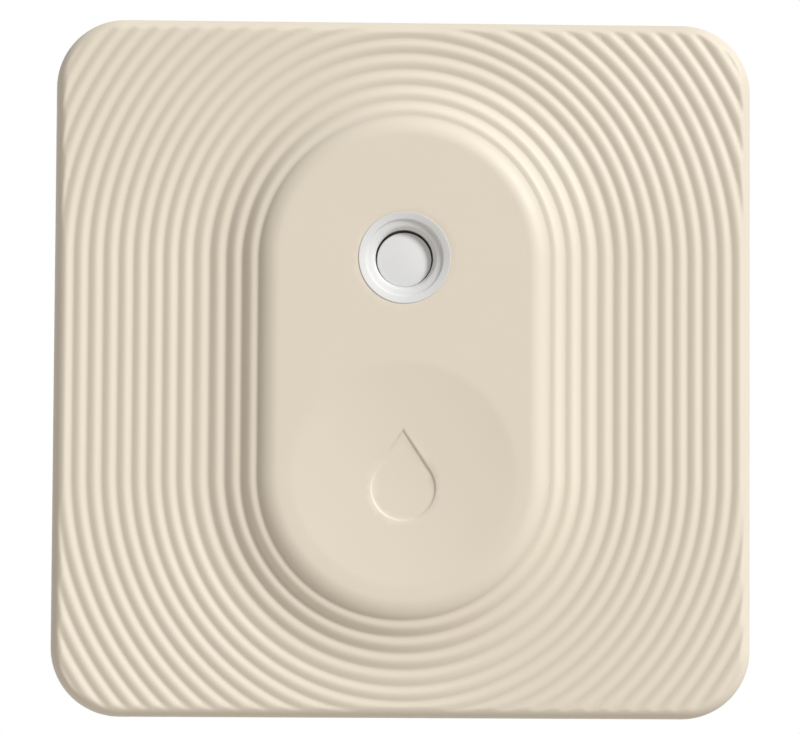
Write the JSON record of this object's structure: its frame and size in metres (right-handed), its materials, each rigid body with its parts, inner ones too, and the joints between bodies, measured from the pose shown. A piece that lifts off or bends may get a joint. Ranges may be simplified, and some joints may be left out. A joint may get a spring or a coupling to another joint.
{
  "type": "temperature humidity sensor",
  "caption": "Small square battery room sensor: rippled front shell round a raised pill, a press button in a light ring, and a drafted rear tray with air slots.",
  "frame": {"origin": "centre of the flat back face", "axes": "+Z out of the ribbed front, +Y towards the top edge with the button end, +X to the right seen from the front"},
  "size_m": [0.037, 0.037, 0.011],
  "materials": {
    "shell_plastic": "fine satin",
    "ring_plastic": "smooth, slightly cloudy",
    "button_plastic": "fine satin",
    "board_laminate": "solder-resist gloss",
    "black_moulding": "fine matt",
    "chip_moulding": "matt",
    "steel_can": "bright nickel plate",
    "spring_metal": "satin plate",
    "gold_plate": "thin gold plate",
    "seal_nylon": "milky",
    "lamp_resin": "clear resin",
    "ceramic_tan": "fired ceramic",
    "ceramic_dark": "fired ceramic",
    "plunger_plastic": "fine matt"
  },
  "bodies": {
    "back": {"rear_housing": "shell_plastic"},
    "front": {"front_shell": "shell_plastic", "light_ring": "ring_plastic", "switch_body": "black_moulding", "switch_cover": "spring_metal", "switch_dome": "spring_metal", "switch_terminals": "spring_metal", "circuit_board": "board_laminate", "board_screws": "spring_metal", "cell_holder": "black_moulding", "positive_contact": "gold_plate", "negative_contact": "gold_plate", "cell_can": "steel_can", "cell_gasket": "seal_nylon", "cell_cap": "steel_can", "controller_chip": "chip_moulding", "clock_crystal": "gold_plate", "timing_crystal": "steel_can", "climate_sensor": "chip_moulding", "indicator_lamps": "lamp_resin", "reserve_capacitor": "ceramic_tan", "chip_capacitors": "ceramic_tan", "chip_resistors": "ceramic_dark", "antenna_trace": "gold_plate"},
    "button": {"button_cap": "button_plastic"},
    "plunger": {"switch_plunger": "plunger_plastic"}
  },
  "joints": [
    {"name": "front_lift", "type": "slide", "parent": "back", "child": "front", "axis": [0, 0, 1], "range_m": [0, 0.015]},
    {"name": "button_press", "type": "slide", "parent": "front", "child": "button", "axis": [0, 0, -1], "range_m": [0, 0.00025], "stiffness_N_per_m": 6400},
    {"name": "plunger_press", "type": "slide", "parent": "front", "child": "plunger", "axis": [0, 0, -1], "range_m": [0, 0.00025], "deforming": ["switch_dome"]}
  ],
  "couplings": [
    {"joint": "plunger_press", "follows": "button_press", "ratio": 1}
  ]
}
